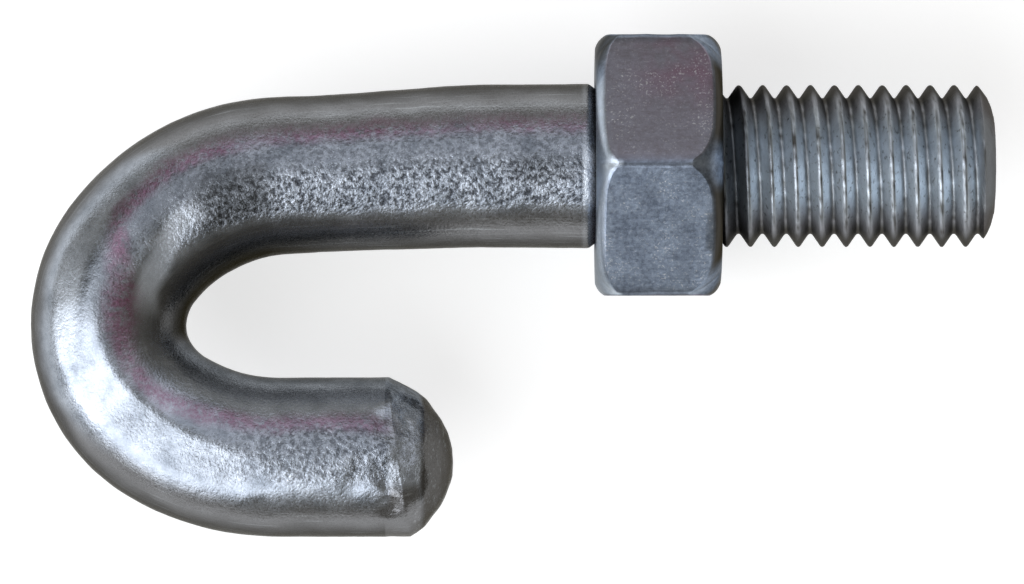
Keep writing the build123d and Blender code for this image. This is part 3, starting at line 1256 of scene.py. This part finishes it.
@dataclass(frozen=True)
class ZincOnNut(ZincFinish):
    """Electroplated zinc on a cold-formed nut: smoother than the bar, with fine scratches and faint mauve and
    pink tints.
    """

    name: str = "zinc_plated_nut"
    light: str = "9eacc0"
    dark: str = "6d7889"
    mauve: str = "948b90"
    pink: str = "85566c"
    oil: str = "44423e"
    rubbed: str = "c8d2dc"
    scratch: str = "e8ebee"
    mottle: Grain = Grain(1 / 2.6, 4.0, 0.7)
    clouds: Grain = Grain(1 / 0.42, 4.0)
    scratches: Grain = Grain(1 / 6.5, 3.0, distortion=0.5)
    # the tool lines are drawn long by squeezing their pattern along the nut's axis
    lines: Grain = Grain(1 / 6.5, 2.0)
    line_squeeze: float = 0.06
    mottle_depth: float = 0.04
    line_depth: float = 0.01

    def build(self) -> bpy.types.Material:
        """Makes the material with its mottle, scratches, tints, oily end and painted highlight."""
        material, where, masks = self.start(NutMarks._fields)
        tree = material.node_tree
        long_way = add_node(tree, "ShaderNodeMapping", {"Scale": (self.line_squeeze, 1.0, 1.0)},
                            {"Vector": where}).outputs[0]
        mottle, cloud, scratch, lines = (
            add_node(tree, "ShaderNodeTexNoise", grain.settings(), {"Vector": place}).outputs["Fac"]
            for grain, place in ((self.mottle, where), (self.clouds, where), (self.scratches, where),
                                 (self.lines, long_way)))
        share = add_node(tree, "ShaderNodeMath", {"operation": "MULTIPLY", 1: 0.4}, {0: cloud})
        mixed = add_node(tree, "ShaderNodeMath", {"operation": "MULTIPLY_ADD", 1: 0.6},
                         {0: mottle, 2: share.outputs[0]}).outputs[0]
        # the same two patterns, spread over the levels that each use needs
        shade, groove, patches, marks, crowd = (
            add_node(tree, "ShaderNodeMapRange", levels, {"Value": pattern}).outputs[0]
            for pattern, levels in (
                (mixed, {"From Min": 0.38, "From Max": 0.62}),
                (lines, {"From Min": 0.3, "From Max": 0.55, "To Min": 0.45}),
                (cloud, {"From Min": 0.35, "From Max": 0.6}),
                (scratch, {"From Min": 0.58, "From Max": 0.7}),
                (cloud, {"From Min": 0.45, "From Max": 0.6, "To Min": 0.15, "To Max": 0.7})))
        colour = add_node(tree, "ShaderNodeMix",
                          {"data_type": "RGBA", 6: linear(self.dark), 7: linear(self.light)}, {0: shade})
        colour = add_node(tree, "ShaderNodeMix", {"data_type": "RGBA", "blend_type": "MULTIPLY", 0: 0.22},
                          {6: colour.outputs[2], 7: groove})
        stain = add_node(tree, "ShaderNodeMath", {"operation": "MULTIPLY", 1: 0.62}, {0: masks["stain"]})
        blush = add_node(tree, "ShaderNodeMath", {"operation": "MULTIPLY"}, {0: patches, 1: masks["blush"]})
        # the pale marks come in crowds, and oil hides them
        marks = add_node(tree, "ShaderNodeMath", {"operation": "MULTIPLY"}, {0: marks, 1: crowd})
        marks = add_node(tree, "ShaderNodeMath", {"operation": "SUBTRACT", "use_clamp": True},
                         {0: marks.outputs[0], 1: masks["oil"]})
        # the pale coat is rubbed zinc with a painted highlight
        coats = ((self.mauve, stain.outputs[0]), (self.pink, blush.outputs[0]), (self.oil, masks["oil"]),
                 (self.rubbed, masks["bright"]), (self.scratch, marks.outputs[0]))
        for paint, amount in coats:
            colour = add_node(tree, "ShaderNodeMix", {"data_type": "RGBA", 7: linear(paint)},
                              {0: amount, 6: colour.outputs[2]})
        bump = add_node(tree, "ShaderNodeBump", {"Distance": self.mottle_depth * MM, "Strength": 0.6},
                        {"Height": mixed})
        bump = add_node(tree, "ShaderNodeBump", {"Distance": self.line_depth * MM, "Strength": 0.3},
                        {"Height": lines, "Normal": bump.outputs[0]})
        self.close(tree, {"Metallic": 1.0, "Roughness": 0.36},
                   {"Base Color": colour.outputs[2], "Normal": bump.outputs[0]})
        return material


@dataclass(frozen=True)
class Lamp:
    """A soft rectangular lamp that points at the origin. Metres and watts."""

    name: str
    place: tuple[float, float, float]
    size: tuple[float, float]
    watts: float
    colour: str

    def hang(self) -> None:
        """Hangs the lamp in the scene."""
        light = bpy.data.lights.new(self.name, "AREA")
        light.shape = "RECTANGLE"
        light.size, light.size_y = self.size
        light.energy = self.watts
        light.color = linear(self.colour)[:3]
        lamp = bpy.data.objects.new(self.name, light)
        lamp.location = self.place
        lamp.rotation_euler = (-Vector(self.place)).to_track_quat("-Z", "Y").to_euler()
        bpy.context.scene.collection.objects.link(lamp)


@dataclass(frozen=True)
class Studio:
    """The floor, the soft light and the camera. Metres."""

    floor_height: float = -0.01097
    floor_size: float = 6.0
    board: str = "ccccca"
    board_glow: float = 0.6
    # a wide soft lamp at the lower left, a cool one above, and a low one at the left
    lamps: tuple[Lamp, ...] = (Lamp("window", (-0.62, -0.55, 0.8), (1.3, 1.3), 16.0, "f6f9ff"),
                               Lamp("sky", (0.0, 0.5, 0.85), (1.2, 0.9), 3.1, "eef2ff"),
                               Lamp("doorway", (-0.98, -0.2, 0.5), (0.5, 0.6), 1.7, "f6f9ff"))
    room: str = "86827a"
    camera_distance: float = 0.5
    centre: tuple[float, float] = (-0.00608, -0.00922)
    frame_width: float = 0.07496
    # the sensor's width, in millimetres
    sensor_width: float = 36.0
    clip_start: float = 0.01

    def build(self) -> None:
        """Sets the floor, the lamps, the room's light and the camera."""
        self.lay_floor()
        for lamp in self.lamps:
            lamp.hang()
        self.light_room()
        self.place_camera()

    def lay_floor(self) -> None:
        """Lays a plain white floor that keeps the object's shadow."""
        bm = bmesh.new()
        bmesh.ops.create_grid(bm, x_segments=1, y_segments=1, size=self.floor_size / 2)
        bmesh.ops.translate(bm, verts=bm.verts, vec=(0, 0, self.floor_height))
        mesh = bpy.data.meshes.new("floor")
        bm.to_mesh(mesh)
        bm.free()
        floor = bpy.data.objects.new("floor", mesh)
        bpy.context.scene.collection.objects.link(floor)
        material = empty_material("matt_white_board")
        tree = material.node_tree
        rays = add_node(tree, "ShaderNodeLightPath").outputs
        seen = rays["Is Camera Ray"]
        for ray in ("Is Glossy Ray", "Is Transmission Ray"):
            seen = add_node(tree, "ShaderNodeMath", {"operation": "MAXIMUM"},
                            {0: seen, 1: rays[ray]}).outputs[0]
        level = add_node(tree, "ShaderNodeMath", {"operation": "MULTIPLY", 1: self.board_glow}, {0: seen})
        glow = add_node(tree, "ShaderNodeEmission", {"Color": linear("ffffff")},
                        {"Strength": level.outputs[0]})
        board = add_node(tree, "ShaderNodeBsdfDiffuse", {"Color": linear(self.board)})
        both = add_node(tree, "ShaderNodeAddShader", {}, {0: board.outputs[0], 1: glow.outputs[0]})
        add_node(tree, "ShaderNodeOutputMaterial", {}, {"Surface": both.outputs[0]})
        mesh.materials.append(material)

    def light_room(self) -> None:
        """Gives the room its dim warm light."""
        world = bpy.data.worlds.new("room")
        world.use_nodes = True
        back = world.node_tree.nodes["Background"]
        back.inputs["Color"].default_value = linear(self.room)
        back.inputs["Strength"].default_value = 1.0
        bpy.context.scene.world = world

    def place_camera(self) -> None:
        """Places the camera straight above the hook's plane."""
        camera = bpy.data.cameras.new("camera")
        camera.sensor_width = self.sensor_width
        camera.lens = self.sensor_width * self.camera_distance / self.frame_width
        camera.clip_start = self.clip_start
        viewer = bpy.data.objects.new("camera", camera)
        viewer.location = (*self.centre, self.camera_distance)
        bpy.context.scene.collection.objects.link(viewer)
        bpy.context.scene.camera = viewer


def main() -> None:
    """Builds the studio, the bolt and the nut, and reports each."""
    logging.basicConfig(level=logging.INFO, format="%(name)s: %(message)s")
    bpy.context.scene.view_settings.view_transform = "Standard"
    Studio().build()
    thread = ScrewThread()
    HookBolt(thread).build(ZincOnBar().build(), ZincOnThread().build())
    HexNut(thread).build(ZincOnNut().build())
    bpy.context.view_layer.update()


if __name__ == "__main__":
    main()
